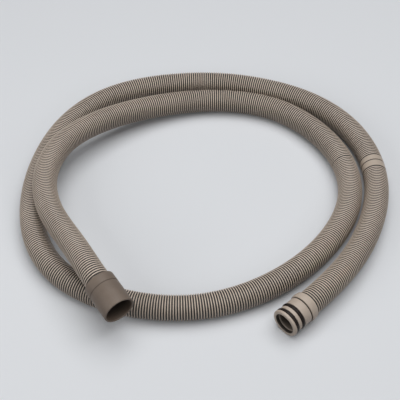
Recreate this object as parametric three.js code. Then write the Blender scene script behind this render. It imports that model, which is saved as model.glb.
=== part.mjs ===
// Washing machine drain hose, lying in two loose turns on a flat surface.
// A corrugated hose runs from a hard spigot with two O-rings to a soft rubber cuff.
// Millimetres, +Z up. The origin is on the surface, under the middle of the loops.
import * as THREE from "three";

// Hose
const hoseOd = 27; // over the ribs
const hoseWall = 3; // from the tops of the ribs to the bore
const hoseSides = 12;
const hoseSteps = 76;

// Fit of pieces that touch
const faceGap = 0.3;

// Facets round a turned piece, and round the section of an O-ring
const turnSides = 36;
const ringSides = 12;

// Spigot, measured along its axis from the hose end to the nose
const tailWall = 1.8; // how far the collar's back edge stands out round the hose
const collarWall = 2.4; // at its widest place
const collarEndWall = 2;
const collarRise = 3.8; // from the back edge to the widest place
const collarLength = 7.3;
const clipGrooveWidth = 1.2;
const clipGrooveDepth = 0.9;
const barrelOd = 29.2;
const barrelLength = 9.1;
const ringWidth = 3.7; // of an O-ring, flattened in its groove
const ringThickness = 2.6;
const ringProud = 0.6; // how far a seated O-ring stands out of the barrel
const ringSideGap = 0.3;
const landInset = 0.2; // the plain rib between the O-rings lies a little lower
const landLength = 3.8;
const noseProud = 0.6;
const noseLength = 3;
const noseRound = 1.4;
const mouthWall = 0.9; // under the groove of the front O-ring
const mouthBevel = 0.6;
const mouthDepth = 3.9;
const boreStep = 1.3; // from the mouth down to the bore

// Cuff, measured along its axis from the hose end to the mouth
const cuffCollarWall = 3.1; // how far the collar stands out round the hose
const cuffCollarLength = 10.2;
const cuffEdgeBevel = 0.6;
const cuffLineWidth = 0.6;
const cuffLineDepth = 0.35;
const socketBore = 29;
const socketWall = 2;
const socketFloor = 2.2; // from the collar's end to the bottom of the socket
const socketDepth = 26;

const hoseBoreR = hoseOd / 2 - hoseWall;

// Directions in which the two ends point away from the hose
const spigotAxis = new THREE.Vector3(-0.729, -0.683, -0.04).normalize();
const cuffAxis = new THREE.Vector3(0.565, -0.818, -0.105).normalize();

// The hose's way from the spigot to the cuff: x, y, and how high it is lifted off the
// surface. The spigot's nose rests there, and the second turn rises over the first.
const route = [
  [102, -163.4, 3],
  [144, -117, 2.4],
  [173, -67.5, 0.8],
  [190.4, -12, 0.2],
  [190.8, 44.5, 0.03],
  [171.9, 98, 0],
  [135, 140, 0],
  [86, 167, 0],
  [30, 181.5, 0],
  [-27, 182.5, 0],
  [-83, 171, 0],
  [-132, 144, 0],
  [-167, 100, 0],
  [-186, 46, 0],
  [-192, -10, 0],
  [-184, -66, 0],
  [-157, -115, 0],
  [-110.5, -148, 0],
  [-55, -163.5, 0],
  [2, -162, 0],
  [56, -142.5, 0],
  [103, -109, 0],
  [139.5, -65, 0],
  [160.8, -12, 0],
  [157.7, 44.5, 0],
  [131.5, 94.5, 0],
  [89, 132, 0.05],
  [35, 148, 0.5],
  [-21, 145, 2.6],
  [-76, 126, 8],
  [-124.5, 95, 15.5],
  [-162, 52.5, 21.5],
  [-176.5, -2, 24],
  [-164.5, -57, 26],
  [-136, -106, 28.7],
  [-106.2, -156.4, 29.9],
].map(([x, y, lift]) => new THREE.Vector3(x, y, hoseOd / 2 + lift));

// A piece's material: colour, roughness, no metal
function material(color, roughness) {
  return new THREE.MeshStandardMaterial({ color, roughness, metalness: 0 });
}

// A smooth curve through the points, with the same bend on both sides of each point
function smoothCurve(points, startDirection, endDirection) {
  const last = points.length - 1;
  const tangents = points.map(() => new THREE.Vector3());
  tangents[0].copy(startDirection).multiplyScalar(points[0].distanceTo(points[1]));
  tangents[last].copy(endDirection).multiplyScalar(points[last].distanceTo(points[last - 1]));
  const sweeps = 40;
  for (let sweep = 0; sweep < sweeps; sweep++) {
    for (let i = 1; i < last; i++) {
      tangents[i]
        .subVectors(points[i + 1], points[i - 1])
        .multiplyScalar(3)
        .sub(tangents[i - 1])
        .sub(tangents[i + 1])
        .divideScalar(4);
    }
  }
  const curve = new THREE.CurvePath();
  for (let i = 0; i < last; i++) {
    const leave = points[i].clone().addScaledVector(tangents[i], 1 / 3);
    const arrive = points[i + 1].clone().addScaledVector(tangents[i + 1], -1 / 3);
    curve.add(new THREE.CubicBezierCurve3(points[i], leave, arrive, points[i + 1]));
  }
  return curve;
}

// A hollow tube of flat sides along the route
function drainHose() {
  const section = new THREE.Shape().absarc(0, 0, hoseOd / 2, 0, 2 * Math.PI);
  section.holes.push(new THREE.Path().absarc(0, 0, hoseBoreR, 0, 2 * Math.PI, true));
  const geometry = new THREE.ExtrudeGeometry(section, {
    extrudePath: smoothCurve(route, spigotAxis.clone().negate(), cuffAxis),
    steps: hoseSteps,
    curveSegments: hoseSides / 2, // an arc gets two points for each
  });
  return new THREE.Mesh(geometry, material(0x776c64, 0.5));
}

// A turned piece from a closed outline of [radius, height] points
function turned(outline, color, roughness) {
  const profile = [...outline, outline[0]].map(([r, h]) => new THREE.Vector2(r, h));
  const geometry = new THREE.LatheGeometry(profile, turnSides);
  return new THREE.Mesh(geometry, material(color, roughness));
}

// Radii of the spigot
const tailR = hoseOd / 2 + tailWall;
const collarR = hoseOd / 2 + collarWall;
const collarEndR = hoseOd / 2 + collarEndWall;
const barrelR = barrelOd / 2;
const ringSeatR = barrelR + ringProud - ringThickness - faceGap;
const noseR = barrelR + noseProud;
const mouthR = ringSeatR - mouthWall;
const spigotBoreR = mouthR - boreStep;

// Heights on the spigot
const ringGrooveWidth = ringWidth + 2 * ringSideGap;
const clipGrooveStart = faceGap + collarLength;
const barrelStart = clipGrooveStart + clipGrooveWidth;
const rearGrooveStart = barrelStart + barrelLength;
const landStart = rearGrooveStart + ringGrooveWidth;
const frontGrooveStart = landStart + landLength;
const noseStart = frontGrooveStart + ringGrooveWidth;
const spigotLength = noseStart + noseLength;

// The moulded spigot: collar, clip groove, barrel, two O-ring grooves and a nose
function spigot() {
  return turned(
    [
      [spigotBoreR, faceGap],
      [tailR, faceGap],
      [collarR, faceGap + collarRise],
      [collarEndR, clipGrooveStart],
      [barrelR - clipGrooveDepth, clipGrooveStart],
      [barrelR - clipGrooveDepth, barrelStart],
      [barrelR, barrelStart],
      [barrelR, rearGrooveStart],
      [ringSeatR, rearGrooveStart],
      [ringSeatR, landStart],
      [barrelR - landInset, landStart],
      [barrelR - landInset, frontGrooveStart],
      [ringSeatR, frontGrooveStart],
      [ringSeatR, noseStart],
      [noseR, noseStart],
      ...roundedEdge(noseR, spigotLength, noseRound),
      [mouthR + mouthBevel, spigotLength],
      [mouthR, spigotLength - mouthBevel],
      [mouthR, spigotLength - mouthDepth],
      [spigotBoreR, spigotLength - mouthDepth],
    ],
    0xbca898,
    0.45,
  );
}

// A quarter round that leads up from radius r and in over the end at the given height
function roundedEdge(r, end, size) {
  const parts = 4;
  return Array.from({ length: parts + 1 }, (_, i) => {
    const angle = (i / parts) * (Math.PI / 2);
    return [r - size + size * Math.cos(angle), end - size + size * Math.sin(angle)];
  });
}

// A rubber ring seated in the groove that starts at the given height
function oRing(grooveStart) {
  const centreR = ringSeatR + faceGap + ringThickness / 2;
  const outline = Array.from({ length: ringSides }, (_, i) => {
    const angle = (i / ringSides) * 2 * Math.PI;
    const r = centreR + (ringThickness / 2) * Math.cos(angle);
    const h = grooveStart + ringGrooveWidth / 2 + (ringWidth / 2) * Math.sin(angle);
    return [r, h];
  });
  return turned(outline, 0x1d1a1e, 0.35);
}

// The rubber cuff: a collar at the end of the hose, a fine line beside it,
// and a plain socket with an open mouth
function cuff() {
  const collarOuterR = hoseOd / 2 + cuffCollarWall;
  const socketR = socketBore / 2;
  const bodyR = socketR + socketWall;
  const bodyStart = cuffCollarLength + cuffLineWidth;
  const floorHeight = cuffCollarLength + socketFloor;
  const cuffLength = floorHeight + socketDepth;
  return turned(
    [
      [hoseBoreR, faceGap],
      [collarOuterR - cuffEdgeBevel, faceGap],
      [collarOuterR, faceGap + cuffEdgeBevel],
      [collarOuterR, cuffCollarLength],
      [bodyR - cuffLineDepth, cuffCollarLength],
      [bodyR - cuffLineDepth, bodyStart],
      [bodyR, bodyStart],
      [bodyR, cuffLength],
      [socketR, cuffLength],
      [socketR, floorHeight],
      [hoseBoreR, floorHeight],
    ],
    0x6b6057,
    0.55,
  );
}

// Stands a turned piece on a point, with its own height along a direction
function placed(mesh, name, point, direction) {
  mesh.name = name;
  mesh.position.copy(point);
  mesh.quaternion.setFromUnitVectors(new THREE.Vector3(0, 1, 0), direction);
  return mesh;
}

const hose = drainHose();
hose.name = "drain_hose";
const hoseStart = route[0];
const hoseEnd = route[route.length - 1];

const assembly = new THREE.Group();
assembly.add(
  hose,
  placed(spigot(), "spigot", hoseStart, spigotAxis),
  placed(oRing(rearGrooveStart), "o_ring_rear", hoseStart, spigotAxis),
  placed(oRing(frontGrooveStart), "o_ring_front", hoseStart, spigotAxis),
  placed(cuff(), "rubber_cuff", hoseEnd, cuffAxis),
);

export default assembly;
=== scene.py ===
import math
from bisect import bisect_right

import bmesh
import bpy
from mathutils import Matrix, Vector
from mathutils.geometry import interpolate_bezier


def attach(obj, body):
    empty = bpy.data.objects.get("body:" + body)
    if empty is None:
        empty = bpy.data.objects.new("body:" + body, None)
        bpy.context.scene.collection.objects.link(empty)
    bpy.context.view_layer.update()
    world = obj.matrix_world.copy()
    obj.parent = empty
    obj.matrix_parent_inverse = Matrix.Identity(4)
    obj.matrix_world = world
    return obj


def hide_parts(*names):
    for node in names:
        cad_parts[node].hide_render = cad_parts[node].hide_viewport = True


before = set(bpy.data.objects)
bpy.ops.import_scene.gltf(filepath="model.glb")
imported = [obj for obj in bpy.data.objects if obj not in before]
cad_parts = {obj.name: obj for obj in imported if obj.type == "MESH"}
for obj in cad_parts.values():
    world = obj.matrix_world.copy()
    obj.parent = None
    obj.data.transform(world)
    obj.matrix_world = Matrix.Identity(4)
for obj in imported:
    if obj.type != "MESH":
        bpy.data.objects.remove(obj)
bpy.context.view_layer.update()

mm = 0.001
fullTurn = 2 * math.pi
weldDistance = 1e-6  # points nearer than this are one point


# Camera: level from left to right, looking down on the hose from the front

view = dict(
    lens=90.0,
    sensorWidth=36.0,
    lookDown=47.0,  # degrees below level
    place=(-0.006, -0.7738, 0.8261),
)


def addCamera():
    data = bpy.data.cameras.new("camera")
    data.lens = view["lens"]
    data.sensor_width = view["sensorWidth"]
    camera = bpy.data.objects.new("camera", data)
    camera.location = view["place"]
    camera.rotation_euler = (math.radians(90 - view["lookDown"]), 0, 0)
    bpy.context.collection.objects.link(camera)
    bpy.context.scene.camera = camera


addCamera()
print("camera placed")


# Route of the hose in metres, from the spigot to the cuff: x, y and lift off the surface

route = dict(
    hoseRadius=0.0135,
    spigotAxis=Vector((-0.729, -0.683, -0.04)).normalized(),
    cuffAxis=Vector((0.565, -0.818, -0.105)).normalized(),
    smoothingSweeps=40,
    stepsBetweenPoints=24,
    points=[
        (0.102, -0.1634, 0.003),
        (0.144, -0.117, 0.0024),
        (0.173, -0.0675, 0.0008),
        (0.1904, -0.012, 0.0002),
        (0.1908, 0.0445, 0.00003),
        (0.1719, 0.098, 0),
        (0.135, 0.14, 0),
        (0.086, 0.167, 0),
        (0.03, 0.1815, 0),
        (-0.027, 0.1825, 0),
        (-0.083, 0.171, 0),
        (-0.132, 0.144, 0),
        (-0.167, 0.1, 0),
        (-0.186, 0.046, 0),
        (-0.192, -0.01, 0),
        (-0.184, -0.066, 0),
        (-0.157, -0.115, 0),
        (-0.1105, -0.148, 0),
        (-0.055, -0.1635, 0),
        (0.002, -0.162, 0),
        (0.056, -0.1425, 0),
        (0.103, -0.109, 0),
        (0.1395, -0.065, 0),
        (0.1608, -0.012, 0),
        (0.1577, 0.0445, 0),
        (0.1315, 0.0945, 0),
        (0.089, 0.132, 0.00005),
        (0.035, 0.148, 0.0005),
        (-0.021, 0.145, 0.0026),
        (-0.076, 0.126, 0.008),
        (-0.1245, 0.095, 0.0155),
        (-0.162, 0.0525, 0.0215),
        (-0.1765, -0.002, 0.024),
        (-0.1645, -0.057, 0.026),
        (-0.136, -0.106, 0.0287),
        (-0.1062, -0.1564, 0.0299),
    ],
)


def smoothLine(points, startDirection, endDirection):
    # cubics through the points, with the same bend on both sides of each point
    last = len(points) - 1
    tangents = [Vector() for _ in points]
    tangents[0] = startDirection * (points[1] - points[0]).length
    tangents[last] = endDirection * (points[last] - points[last - 1]).length
    for _ in range(route["smoothingSweeps"]):
        for i in range(1, last):
            span = 3 * (points[i + 1] - points[i - 1])
            tangents[i] = (span - tangents[i - 1] - tangents[i + 1]) / 4
    line = [points[0]]
    for i in range(last):
        leave = points[i] + tangents[i] / 3
        arrive = points[i + 1] - tangents[i + 1] / 3
        steps = route["stepsBetweenPoints"] + 1
        line += interpolate_bezier(points[i], leave, arrive, points[i + 1], steps)[1:]
    return line


class HoseLine:
    # the hose's middle line, with a cross frame at each point that never twists

    def __init__(self):
        lift = route["hoseRadius"]
        points = [Vector((x, y, z + lift)) for x, y, z in route["points"]]
        self.line = smoothLine(points, -route["spigotAxis"], route["cuffAxis"])
        self.distances = [0.0]
        for a, b in zip(self.line, self.line[1:]):
            self.distances.append(self.distances[-1] + (b - a).length)
        self.length = self.distances[-1]
        self.layFrames()

    def layFrames(self):
        count = len(self.line)
        ahead = [
            (self.line[min(i + 1, count - 1)] - self.line[max(i - 1, 0)]).normalized()
            for i in range(count)
        ]
        ahead[0] = -route["spigotAxis"]
        ahead[-1] = route["cuffAxis"]
        across = ahead[0].cross(Vector((0, 0, 1)))
        self.frames = []
        for direction in ahead:
            across = (across - direction * across.dot(direction)).normalized()
            self.frames.append((across, direction.cross(across)))

    def at(self, distance):
        # the middle point and the two cross directions at a distance from the spigot
        i = min(bisect_right(self.distances, distance), len(self.line) - 1) - 1
        i = max(i, 0)
        share = (distance - self.distances[i]) / (self.distances[i + 1] - self.distances[i])
        middle = self.line[i].lerp(self.line[i + 1], share)
        across = self.frames[i][0].lerp(self.frames[i + 1][0], share)
        over = self.frames[i][1].lerp(self.frames[i + 1][1], share)
        return middle, across, over


hoseLine = HoseLine()
hoseStart = hoseLine.line[0]
hoseEnd = hoseLine.line[-1]
print("hose line laid,", round(hoseLine.length, 3), "m")


# Small helpers for materials and pieces

noiseLow, noiseHigh = 0.3, 0.7  # most of the noise lies between these


def newMaterial(name):
    material = bpy.data.materials.new(name)
    material.use_nodes = True
    tree = material.node_tree
    shader = tree.nodes["Principled BSDF"]
    return material, tree, shader


def addNode(tree, kind, **settings):
    node = tree.nodes.new(kind)
    for key, value in settings.items():
        setattr(node, key, value)
    return node


def noise(tree, scale, detail=3.0):
    # noise on the piece's own coordinates, in metres
    place = addNode(tree, "ShaderNodeTexCoord")
    texture = addNode(tree, "ShaderNodeTexNoise")
    texture.inputs["Scale"].default_value = scale
    texture.inputs["Detail"].default_value = detail
    tree.links.new(place.outputs["Object"], texture.inputs["Vector"])
    return texture.outputs["Fac"]


def spread(tree, source, low, high, fromLow=noiseLow, fromHigh=noiseHigh):
    # moves a value from one range to another
    node = addNode(tree, "ShaderNodeMapRange")
    node.inputs["From Min"].default_value = fromLow
    node.inputs["From Max"].default_value = fromHigh
    node.inputs["To Min"].default_value = low
    node.inputs["To Max"].default_value = high
    tree.links.new(source, node.inputs["Value"])
    return node.outputs["Result"]


def ramp(tree, source, stops):
    node = addNode(tree, "ShaderNodeValToRGB")
    elements = node.color_ramp.elements
    while len(elements) < len(stops):
        elements.new(0.5)
    for element, (position, colour) in zip(elements, stops):
        element.position = position
        element.color = (*colour, 1)
    tree.links.new(source, node.inputs["Fac"])
    return node.outputs["Color"]


def tinted(tree, colour, amount):
    # brightens or darkens a colour by a value around 1
    node = addNode(tree, "ShaderNodeVectorMath", operation="SCALE")
    tree.links.new(colour, node.inputs[0])
    tree.links.new(amount, node.inputs["Scale"])
    return node.outputs["Vector"]


def mottled(tree, look):
    # soft patches of a piece's two colours
    first, second = look["colours"]
    stops = [(noiseLow, srgb(*first)), (noiseHigh, srgb(*second))]
    return ramp(tree, noise(tree, look["patchScale"]), stops)


def grained(tree, shader, look):
    # an uneven sheen and a fine grain
    sheen = spread(tree, noise(tree, look["sheenScale"]), *look["roughness"])
    tree.links.new(sheen, shader.inputs["Roughness"])
    grain = addNode(tree, "ShaderNodeBump")
    grain.inputs["Distance"].default_value = look["grainDepth"]
    tree.links.new(noise(tree, look["grainScale"]), grain.inputs["Height"])
    tree.links.new(grain.outputs["Normal"], shader.inputs["Normal"])


def srgb(r, g, b):
    # a colour given as it shows on a screen, from 0 to 255
    def linear(value):
        share = value / 255
        return share / 12.92 if share <= 0.04045 else ((share + 0.055) / 1.055) ** 2.4
    return linear(r), linear(g), linear(b)


def finished(name, mesh, material):
    mesh.materials.append(material)
    piece = bpy.data.objects.new(name, mesh)
    bpy.context.collection.objects.link(piece)
    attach(piece, "root")
    return piece


# Corrugated hose, in metres along its middle line from the spigot

hose = dict(
    boreRadius=0.0105,
    sides=30,
    ribPitch=0.00264,
    grooveDepth=0.0011,
    ribShape=((0.18, 1), (0.37, 0), (0.63, 0), (0.82, 1)),  # place in the pitch, share of the depth
    bandGrooves=(0.2161, 0.2259, 0.2344),  # plain bands lie between these single grooves
    bandGrooveHalf=0.0008,  # half its width at the top
    bandGrooveFloor=0.0005,  # half the width of the groove's floor
    bandEdge=0.0005,  # the outer two grooves are wider by this much, on the side of the ribs
    bandTone=0.84,  # the plain bands are a little darker than the tops of the ribs
    seam=1.3732,  # one groove further on is wider than the others
    seamHalf=0.0003,  # half of what it is wider by
    innerStep=0.011,  # between two rings of points in the bore
    pathStep=4,  # every fourth point of the middle line
    toneAndShadeColours=(  # screen colours from the grooves, at 0, to the tops of the ribs, at 1; the dark end is painted shade in the grooves and the bore
        (0.0, (30, 24, 20)),
        (0.4, (52, 43, 37)),
        (0.7, (163, 148, 133)),
        (1.0, (216, 200, 184)),
    ),
    patches=(0.93, 1.07),  # the darkest and the lightest, as a share of the colour
    patchScale=22,
    roughness=(0.38, 0.52),
    sheenScale=260,
    grainScale=1500,
    grainDepth=0.00004,
)


def ribs(start, end):
    # rings of points on a ribbed stretch: distance, share of the grooves' depth, and tone, which is 0
    # on the groove floors for painted shade
    count = round((end - start) / hose["ribPitch"])
    pitch = (end - start) / count
    for rib in range(count):
        for place, depth in hose["ribShape"]:
            yield start + (rib + place) * pitch, depth, 1 - depth


def hoseRings():
    first, *_, last = hose["bandGrooves"]
    half, floor, tone = hose["bandGrooveHalf"], hose["bandGrooveFloor"], hose["bandTone"]
    rings = [(0, 1, 0), *ribs(0, first - hose["bandEdge"])]
    # each plain band runs from one single groove, at a, to the next, at b; the groove floors take
    # tone 0, painted shade
    for a, b in zip(hose["bandGrooves"], hose["bandGrooves"][1:]):
        rings += [(a + floor, 1, 0), (a + half, 0, tone), (a + 2 * half, 0, tone)]
        rings += [(b - 2 * half, 0, tone), (b - half, 0, tone), (b - floor, 1, 0)]
    before, after = hose["seam"] - hose["seamHalf"], hose["seam"] + hose["seamHalf"]
    rings += [*ribs(last + hose["bandEdge"], before), *ribs(after, hoseLine.length)]
    return [*rings, (hoseLine.length, 1, 0)]


def wrapGrid(bm, rings, tone):
    # a flat grid, rolled up round the middle line: rings are rows of distance, radius and tone
    rows = len(rings) - 1
    grid = bmesh.ops.create_grid(bm, x_segments=hose["sides"], y_segments=rows, size=1)
    places = [hoseLine.at(distance) for distance, _, _ in rings]
    for vert in grid["verts"]:
        turn = (vert.co.x + 1) / 2 * fullTurn
        row = round((vert.co.y + 1) / 2 * rows)
        middle, across, over = places[row]
        radius = rings[row][1]
        vert.co = middle + (across * math.cos(turn) + over * math.sin(turn)) * radius
        vert[tone] = rings[row][2]


def ringEdges(bm, centre):
    # the open edges at one end of the tube
    return [
        edge
        for edge in bm.edges
        if edge.is_boundary and (edge.verts[0].co - centre).length < 2 * route["hoseRadius"]
    ]


def makeHose():
    bm = bmesh.new()
    tone = bm.verts.layers.float.new("ribToneAndPaintedShade")
    radius = route["hoseRadius"]
    wrapGrid(bm, [(s, radius - depth * hose["grooveDepth"], t) for s, depth, t in hoseRings()], tone)
    innerCount = round(hoseLine.length / hose["innerStep"])
    # the bore takes tone 0, the grooves' painted shade, all along the inside
    inner = [(hoseLine.length * i / innerCount, hose["boreRadius"], 0) for i in range(innerCount + 1)]
    wrapGrid(bm, inner, tone)
    bmesh.ops.remove_doubles(bm, verts=bm.verts, dist=weldDistance)
    for centre in (hoseStart, hoseEnd):
        bmesh.ops.bridge_loops(bm, edges=ringEdges(bm, centre))
    bmesh.ops.recalc_face_normals(bm, faces=bm.faces)
    mesh = bpy.data.meshes.new("hose")
    bm.to_mesh(mesh)
    bm.free()
    mesh.shade_smooth()
    return mesh


def ribbedPlastic():
    material, tree, shader = newMaterial("ribbedPlastic")
    tone = addNode(tree, "ShaderNodeAttribute", attribute_name="ribToneAndPaintedShade")
    # rib tops in the plastic's colour, darkening into painted shade down into the grooves
    stops = [(position, srgb(*colour)) for position, colour in hose["toneAndShadeColours"]]
    colour = ramp(tree, tone.outputs["Fac"], stops)
    patches = spread(tree, noise(tree, hose["patchScale"]), *hose["patches"])
    tree.links.new(tinted(tree, colour, patches), shader.inputs["Base Color"])
    grained(tree, shader, hose)
    return material


def addHose():
    piece = finished("hose", makeHose(), ribbedPlastic())
    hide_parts("drain_hose")


# Turned pieces: an outline of corners, spun round its axis. A corner is its radius, height
# and rounding in millimetres, and the darkness of its painted shade, from 0 to 1, where little light
# gets in

turning = dict(
    roundSegments=4,  # on each rounded corner
    sharpAngle=35,  # degrees between two faces, from which the edge shows
)


def turnedMesh(name, outline, start, axis, sides):
    bm = bmesh.new()
    corners = [bm.verts.new((r * mm, 0, h * mm)) for r, h, _, _ in outline]
    for a, b in zip(corners, corners[1:] + corners[:1]):
        bm.edges.new((a, b))
    for corner, (_, _, rounding, _) in zip(corners, outline):
        if rounding:
            bmesh.ops.bevel(
                bm, geom=[corner], offset=rounding * mm, offset_type="OFFSET",
                segments=turning["roundSegments"], profile=0.5, affect="VERTICES", material=-1,
            )
    # painted shade: each point takes the darkness of the nearest corner of the outline
    paintedShade = bm.verts.layers.float.new("paintedShade")
    for vert in bm.verts:
        r, h = vert.co.x / mm, vert.co.z / mm
        nearest = min(outline, key=lambda row: math.hypot(row[0] - r, row[1] - h))
        vert[paintedShade] = nearest[3]
    bmesh.ops.spin(
        bm, geom=bm.verts[:] + bm.edges[:], cent=(0, 0, 0), axis=(0, 0, 1),
        angle=fullTurn, steps=sides, use_merge=True,
    )
    bmesh.ops.remove_doubles(bm, verts=bm.verts, dist=weldDistance)
    bmesh.ops.recalc_face_normals(bm, faces=bm.faces)
    turn = Vector((0, 0, 1)).rotation_difference(axis).to_matrix().to_4x4()
    bmesh.ops.transform(bm, matrix=Matrix.Translation(start) @ turn, verts=bm.verts)
    sharpAngle = math.radians(turning["sharpAngle"])
    for edge in bm.edges:
        edge.smooth = edge.calc_face_angle(0) < sharpAngle
    mesh = bpy.data.meshes.new(name)
    bm.to_mesh(mesh)
    bm.free()
    mesh.shade_smooth()
    return mesh


def withPaintedShade(tree, colour, dark):
    # painted shade: darkens a colour in grooves and deep inside an open mouth, where little light
    # gets in
    paintedShade = addNode(tree, "ShaderNodeAttribute", attribute_name="paintedShade")
    mix = addNode(tree, "ShaderNodeMix", data_type="RGBA")
    tree.links.new(paintedShade.outputs["Fac"], mix.inputs["Factor"])
    tree.links.new(colour, mix.inputs["A"])
    mix.inputs["B"].default_value = (*dark, 1)
    return mix.outputs["Result"]


# Spigot: heights run from the hose's end to the nose

spigot = dict(
    sides=120,
    tailLip=0.2,  # how far the collar reaches back over the hose
    tailRadius=15.3,
    seatRadius=13.7,
    collar=(15.9, 4.1),  # radius and height at its widest
    collarEnd=(15.5, 7.6),
    clipGrooveEnd=8.8,
    clipGrooveRadius=13.6,
    barrelRadius=14.6,
    barrelEnd=17.9,
    ringSeatRadius=12.3,
    landRadius=14.4,
    landStart=22.2,
    landEnd=26.0,
    noseRadius=15.2,
    noseStart=30.3,
    noseEnd=33.3,
    noseRound=1.4,
    mouthRadius=11.4,
    mouthBevel=0.6,
    mouthDepth=3.9,
    mouthShade=0.4,  # the painted shade in the mouth is darkest this far above the step to the bore
    boreRadius=10.1,
    boreStart=0.3,  # just clear of the hose's end
    boreShades=((1.2, 0.55), (8, 0.95)),  # depth below the step, and how dark the painted shade is there
    colours=((188, 172, 157), (199, 184, 169)),
    # colour of the painted shade in the grooves, under the rings and deep in the mouth
    paintedShadeColour=(26, 20, 16),
    patchScale=60,
    roughness=(0.36, 0.48),
    sheenScale=300,
    grainScale=1200,
    grainDepth=0.00003,
)


def spigotOutline():
    s = spigot
    clipGroove = s["collarEnd"][1]
    step = s["noseEnd"] - s["mouthDepth"]
    # the last value of each corner is painted shade: dark in the clip groove, the ring seats and deep
    # in the mouth
    return [
        (s["boreRadius"], s["boreStart"], 0, 1),
        (s["seatRadius"], s["boreStart"], 0, 1),
        (s["seatRadius"], -s["tailLip"], 0.1, 0.4),
        (s["tailRadius"], -s["tailLip"], 0.25, 0),
        (*s["collar"], 1.5, 0),
        (*s["collarEnd"], 0.25, 0),
        (s["clipGrooveRadius"], clipGroove, 0.15, 0.9),
        (s["clipGrooveRadius"], s["clipGrooveEnd"], 0.15, 0.9),
        (s["barrelRadius"], s["clipGrooveEnd"], 0.2, 0),
        (s["barrelRadius"], s["barrelEnd"], 0.2, 0),
        (s["ringSeatRadius"], s["barrelEnd"], 0.2, 1),
        (s["ringSeatRadius"], s["landStart"], 0.2, 1),
        (s["landRadius"], s["landStart"], 0.25, 0),
        (s["landRadius"], s["landEnd"], 0.25, 0),
        (s["ringSeatRadius"], s["landEnd"], 0.2, 1),
        (s["ringSeatRadius"], s["noseStart"], 0.2, 1),
        (s["noseRadius"], s["noseStart"], 0.2, 0),
        (s["noseRadius"], s["noseEnd"], s["noseRound"], 0),
        (s["mouthRadius"] + s["mouthBevel"], s["noseEnd"], 0.2, 0.1),
        (s["mouthRadius"], s["noseEnd"] - s["mouthBevel"], 0.2, 0.9),
        (s["mouthRadius"], step + s["mouthShade"], 0, 0.98),
        (s["mouthRadius"], step, 0.1, 0.6),
        (s["boreRadius"], step, 0.4, 0.3),
        *((s["boreRadius"], step - depth, 0, dark) for depth, dark in s["boreShades"]),
    ]


def beigePlastic():
    material, tree, shader = newMaterial("beigePlastic")
    colour = withPaintedShade(tree, mottled(tree, spigot), srgb(*spigot["paintedShadeColour"]))
    tree.links.new(colour, shader.inputs["Base Color"])
    grained(tree, shader, spigot)
    return material


def addSpigot():
    mesh = turnedMesh("spigotBody", spigotOutline(), hoseStart, route["spigotAxis"], spigot["sides"])
    piece = finished("spigotBody", mesh, beigePlastic())
    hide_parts("spigot")
    return piece


# O-rings, seated in the spigot's grooves

oRing = dict(
    thickness=2.8,
    width=3.9,
    outerRadius=15.25,
    sides=120,
    sectionSides=24,
    heights=dict(o_ring_rear=20.05, o_ring_front=28.15),
    colour=(27, 17, 11),
    specular=0.18,
    roughness=(0.24, 0.34),
    sheenScale=400,
    grainScale=2000,
    grainDepth=0.00002,
)


def blackRubber():
    material, tree, shader = newMaterial("blackRubber")
    shader.inputs["Base Color"].default_value = (*srgb(*oRing["colour"]), 1)
    shader.inputs["Specular IOR Level"].default_value = oRing["specular"]
    grained(tree, shader, oRing)
    return material


def oRingMesh(name, height):
    halfThickness, halfWidth = oRing["thickness"] / 2, oRing["width"] / 2
    centre = oRing["outerRadius"] - halfThickness
    turns = [fullTurn * i / oRing["sectionSides"] for i in range(oRing["sectionSides"])]
    outline = [
        (centre + halfThickness * math.cos(turn), height + halfWidth * math.sin(turn), 0, 0)
        for turn in turns
    ]
    return turnedMesh(name, outline, hoseStart, route["spigotAxis"], oRing["sides"])


def addORings():
    material = blackRubber()
    pieces = []
    for node, height in oRing["heights"].items():
        name = node + "_seated"
        piece = finished(name, oRingMesh(name, height), material)
        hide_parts(node)
        pieces.append(piece)
    return pieces


# Cuff: heights run from the hose's end to the mouth

cuff = dict(
    sides=120,
    lip=0.2,  # how far the collar reaches back over the hose
    seatRadius=13.7,
    collarRadius=16.6,
    collarEnd=10.2,
    lineWidth=0.7,
    lineDepth=0.4,
    bodyRadius=16.5,
    mouthRadius=14.5,
    rimRound=0.6,
    lipRound=1.1,  # inside the mouth
    end=38.4,
    floor=12.4,
    boreRadius=10.5,
    boreStart=0.3,  # just clear of the hose's end
    mouthShades=((3, 0), (6, 0.25), (11, 0.7), (18, 1)),  # depth inside, how dark the painted shade is there
    colours=((107, 93, 81), (119, 104, 91)),
    # colour of the painted shade in the collar's line and deep in the mouth
    paintedShadeColour=(22, 17, 14),
    patchScale=45,
    roughness=(0.46, 0.58),
    sheenScale=250,
    grainScale=1400,
    grainDepth=0.00004,
)


def cuffOutline():
    c = cuff
    lineEnd = c["collarEnd"] + c["lineWidth"]
    bottom = c["bodyRadius"] - c["lineDepth"]
    # the last value of each corner is painted shade: dark at the seat, in the collar's line and deep
    # in the mouth
    return [
        (c["boreRadius"], c["boreStart"], 0, 1),
        (c["seatRadius"], c["boreStart"], 0, 1),
        (c["seatRadius"], -c["lip"], 0.1, 0.5),
        (c["collarRadius"], -c["lip"], 0.5, 0),
        (c["collarRadius"], c["collarEnd"], 0.2, 0),
        (bottom, c["collarEnd"], 0.1, 0.3),
        (bottom, lineEnd, 0.1, 0.3),
        (c["bodyRadius"], lineEnd, 0.2, 0),
        (c["bodyRadius"], c["end"], c["rimRound"], 0),
        (c["mouthRadius"], c["end"], c["lipRound"], 0),
        *((c["mouthRadius"], c["end"] - depth, 0, dark) for depth, dark in c["mouthShades"]),
        (c["mouthRadius"], c["floor"], 0.5, 1),
        (c["boreRadius"], c["floor"], 0.5, 1),
    ]


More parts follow.
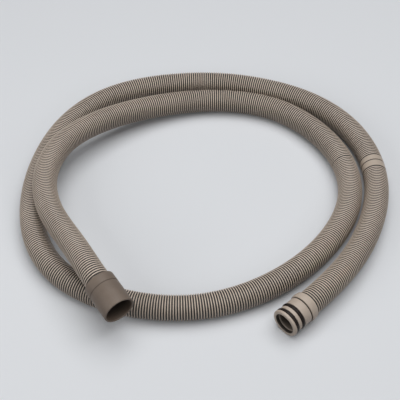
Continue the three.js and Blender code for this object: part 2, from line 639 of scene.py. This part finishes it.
def greyRubber():
    material, tree, shader = newMaterial("greyRubber")
    colour = withPaintedShade(tree, mottled(tree, cuff), srgb(*cuff["paintedShadeColour"]))
    tree.links.new(colour, shader.inputs["Base Color"])
    grained(tree, shader, cuff)
    return material


def addCuff():
    mesh = turnedMesh("cuffBody", cuffOutline(), hoseEnd, route["cuffAxis"], cuff["sides"])
    piece = finished("cuffBody", mesh, greyRubber())
    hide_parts("rubber_cuff")
    return piece


fittings = [addSpigot(), *addORings(), addCuff()]
print("fittings made")
addHose()
print("hose made")


# Floor and light

studio = dict(
    floorSize=6.0,
    floorColour=(0.82, 0.84, 0.87),
    floorBounce=(0.3, 0.3, 0.31),  # the floor's colour for light on its way to the hose
    backdropColour=(0.62, 0.635, 0.66),
    fadeStart=0.75,  # how far out the floor begins to turn into the backdrop
    fadeEnd=1.7,
    lamps=dict(
        overhead=dict(place=(0.2, 0.2, 1.9), size=2.2, power=31.5),
        left=dict(place=(-1.3, -0.75, 0.95), size=1.0, power=7.0),
        right=dict(place=(0.95, -1.15, 1.1), size=0.8, power=3.2),
    ),
    worldColour=(0.97, 0.98, 1.0),
    worldStrength=0.06,
)


def seenRays(tree):
    # 1 for what the camera sees, directly or mirrored, and 0 for light on its way
    rays = addNode(tree, "ShaderNodeLightPath")
    seen = rays.outputs["Is Camera Ray"]
    for kind in ("Is Glossy Ray", "Is Transmission Ray"):
        either = addNode(tree, "ShaderNodeMath", operation="MAXIMUM")
        tree.links.new(seen, either.inputs[0])
        tree.links.new(rays.outputs[kind], either.inputs[1])
        seen = either.outputs["Value"]
    return seen


def paleFloor():
    # lit near the hose, where it shows the shadow, and the backdrop's plain colour further out
    material, tree, shader = newMaterial("paleFloor")
    seen = seenRays(tree)
    colour = ramp(tree, seen, [(0.0, studio["floorBounce"]), (1.0, studio["floorColour"])])
    tree.links.new(colour, shader.inputs["Base Color"])
    shader.inputs["Roughness"].default_value = 1
    place = addNode(tree, "ShaderNodeTexCoord")
    reach = addNode(tree, "ShaderNodeVectorMath", operation="LENGTH")
    tree.links.new(place.outputs["Object"], reach.inputs[0])
    fade = spread(tree, reach.outputs["Value"], 0, 1, studio["fadeStart"], studio["fadeEnd"])
    share = addNode(tree, "ShaderNodeMath", operation="MULTIPLY")
    tree.links.new(fade, share.inputs[0])
    tree.links.new(seen, share.inputs[1])
    glow = addNode(tree, "ShaderNodeEmission")
    glow.inputs["Color"].default_value = (*studio["backdropColour"], 1)
    blend = addNode(tree, "ShaderNodeMixShader")
    tree.links.new(share.outputs["Value"], blend.inputs[0])
    tree.links.new(shader.outputs["BSDF"], blend.inputs[1])
    tree.links.new(glow.outputs["Emission"], blend.inputs[2])
    tree.links.new(blend.outputs["Shader"], tree.nodes["Material Output"].inputs["Surface"])
    return material


def addFloor():
    bm = bmesh.new()
    bmesh.ops.create_grid(bm, x_segments=1, y_segments=1, size=studio["floorSize"] / 2)
    mesh = bpy.data.meshes.new("floor")
    bm.to_mesh(mesh)
    bm.free()
    mesh.materials.append(paleFloor())
    floor = bpy.data.objects.new("floor", mesh)
    bpy.context.collection.objects.link(floor)


def addLamp(name, *, place, size, power):
    data = bpy.data.lights.new(name, "AREA")
    data.size = size
    data.energy = power
    lamp = bpy.data.objects.new(name, data)
    lamp.location = place
    lamp.rotation_euler = Vector(place).to_track_quat("Z", "Y").to_euler()
    bpy.context.collection.objects.link(lamp)


def addWorld():
    world = bpy.data.worlds.new("studio")
    world.use_nodes = True
    tree = world.node_tree
    light = tree.nodes["Background"]
    light.inputs["Color"].default_value = (*studio["worldColour"], 1)
    light.inputs["Strength"].default_value = studio["worldStrength"]
    backdrop = addNode(tree, "ShaderNodeBackground")
    backdrop.inputs["Color"].default_value = (*studio["backdropColour"], 1)
    blend = addNode(tree, "ShaderNodeMixShader")
    tree.links.new(seenRays(tree), blend.inputs[0])
    tree.links.new(light.outputs["Background"], blend.inputs[1])
    tree.links.new(backdrop.outputs["Background"], blend.inputs[2])
    tree.links.new(blend.outputs["Shader"], tree.nodes["World Output"].inputs["Surface"])
    bpy.context.scene.world = world


addFloor()
for name, lamp in studio["lamps"].items():
    addLamp(name, **lamp)
addWorld()
bpy.context.scene.view_settings.view_transform = "Standard"
print("floor and light set")
